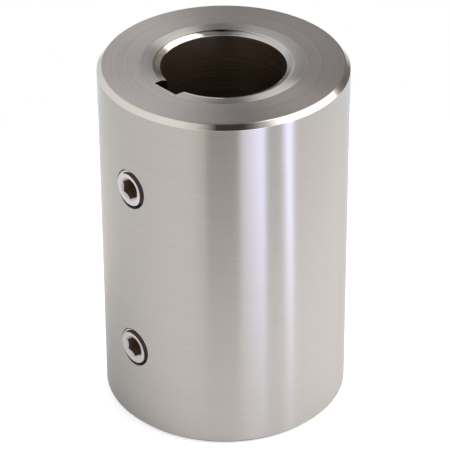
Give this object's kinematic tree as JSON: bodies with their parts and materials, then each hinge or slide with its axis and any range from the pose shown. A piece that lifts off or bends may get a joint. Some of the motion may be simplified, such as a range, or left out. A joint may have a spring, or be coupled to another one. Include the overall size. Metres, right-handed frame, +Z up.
{
  "type": "rigid shaft coupling",
  "caption": "One-piece steel sleeve with a keyed through bore that joins two shafts end to end, clamped by socket set screws over the keyway.",
  "frame": {"origin": "centre of the lower end face, on the axis of the bore", "axes": "+Z up along the bore; -Y through the keyway and both set screws"},
  "size_m": [0.0508, 0.0508, 0.0762],
  "materials": {
    "sleeve_steel": "fine turned and polished bright steel",
    "screw_steel": "bright machined steel"
  },
  "bodies": {
    "sleeve": {"coupling_sleeve": "sleeve_steel"},
    "lower_screw": {"lower_set_screw": "screw_steel"},
    "upper_screw": {"upper_set_screw": "screw_steel"}
  },
  "joints": [
    {"name": "lower_screw_travel", "type": "slide", "parent": "sleeve", "child": "lower_screw", "axis": [0, -1, 0], "range_m": [-0.00307, 0.00423]},
    {"name": "upper_screw_travel", "type": "slide", "parent": "sleeve", "child": "upper_screw", "axis": [0, -1, 0], "range_m": [-0.00307, 0.00423]}
  ]
}
